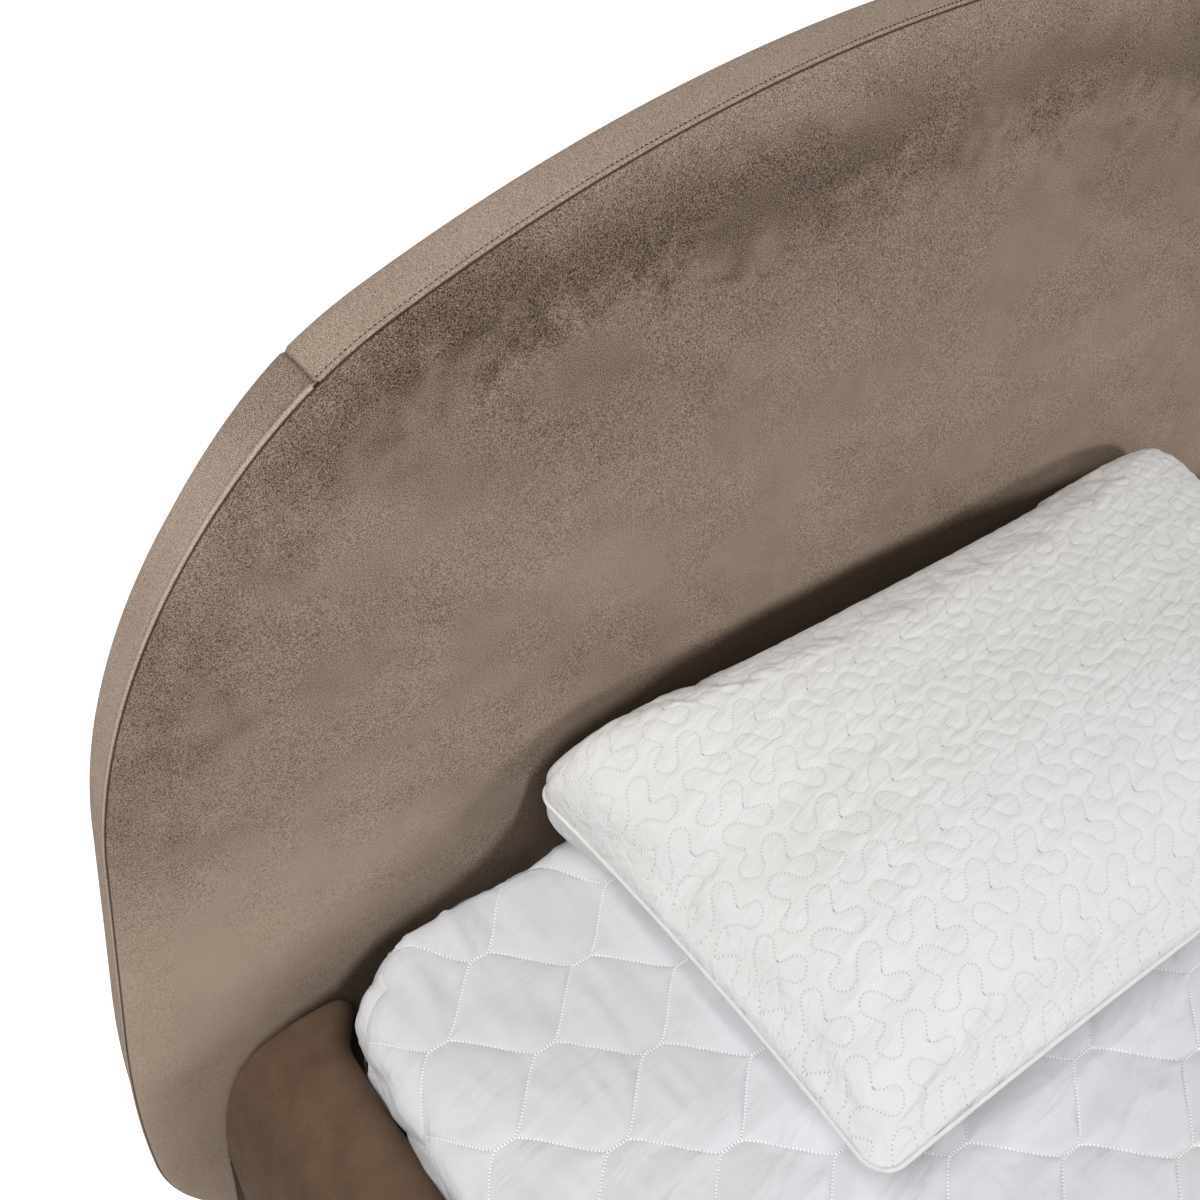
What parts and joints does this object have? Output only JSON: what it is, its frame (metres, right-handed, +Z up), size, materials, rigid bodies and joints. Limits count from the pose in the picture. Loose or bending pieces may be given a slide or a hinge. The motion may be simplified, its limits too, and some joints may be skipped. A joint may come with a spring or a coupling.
{
  "type": "upholstered bed",
  "caption": "Upholstered bed: arched velvet headboard, thick rounded padded rails and foot, slatted base on a centre beam, quilted mattress and a long quilted pillow.",
  "frame": {"origin": "on the floor, under the centre of the bed's bounding box", "axes": "+X across the bed, to the right when facing the headboard; +Y along the bed, towards the headboard; +Z up"},
  "size_m": [1.91, 2.263, 1.2539],
  "materials": {
    "velvet": "taupe velvet with a brushed nap",
    "quilted_cotton": "white quilted cotton, raised cells",
    "pillow_cotton": "white quilted cotton, stitched in loops",
    "foam": "open-cell upholstery foam",
    "pine": "sawn pine, unfinished",
    "plywood": "poplar plywood, unfinished",
    "slat_wood": "planed pine slat",
    "black_steel": "black powder coat",
    "zinc_steel": "bright zinc",
    "dark_wood": "dark stained beech",
    "felt": "pressed felt"
  },
  "bodies": {
    "bed_frame": {"beam_hangers": "black_steel", "centre_beam": "pine", "centre_leg_1": "black_steel", "centre_leg_2": "black_steel", "centre_leg_3": "black_steel", "foot_core": "plywood", "foot_cover": "velvet", "foot_foam": "foam", "foot_leg_left": "dark_wood", "foot_leg_right": "dark_wood", "head_bracket_left": "black_steel", "head_bracket_right": "black_steel", "headboard_back_cover": "velvet", "headboard_bolts": "zinc_steel", "headboard_cross_rails": "pine", "headboard_edge_foam": "foam", "headboard_front_cover": "velvet", "headboard_front_foam": "foam", "headboard_leg_left": "dark_wood", "headboard_leg_right": "dark_wood", "headboard_panel": "plywood", "headboard_perimeter": "pine", "headboard_post_left": "pine", "headboard_post_right": "pine", "headboard_side_band_left": "velvet", "headboard_side_band_right": "velvet", "headboard_top_band": "velvet", "joining_plate_left": "black_steel", "joining_plate_right": "black_steel", "leg_glides": "felt", "rail_bolts": "zinc_steel", "rail_cover_left": "velvet", "rail_cover_right": "velvet", "rail_foam_left": "foam", "rail_foam_right": "foam", "rail_inner_board_left": "plywood", "rail_inner_board_right": "plywood", "rail_outer_board_left": "plywood", "rail_outer_board_right": "plywood", "rail_ribs_left": "plywood", "rail_ribs_right": "plywood", "slat_01": "slat_wood", "slat_02": "slat_wood", "slat_03": "slat_wood", "slat_04": "slat_wood", "slat_05": "slat_wood", "slat_06": "slat_wood", "slat_07": "slat_wood", "slat_08": "slat_wood", "slat_09": "slat_wood", "slat_10": "slat_wood", "slat_11": "slat_wood", "slat_12": "slat_wood", "slat_13": "slat_wood", "slat_ledge_left": "pine", "slat_ledge_right": "pine"},
    "mattress": {"mattress_core": "foam", "mattress_cover": "quilted_cotton"},
    "pillow": {"pillow": "pillow_cotton"}
  },
  "joints": [
    {"name": "mattress_lift", "type": "slide", "parent": "bed_frame", "child": "mattress", "axis": [0, 0, 1], "range_m": [0, 0.6]},
    {"name": "pillow_lift", "type": "slide", "parent": "mattress", "child": "pillow", "axis": [0, 0, 1], "range_m": [0, 0.4]}
  ]
}
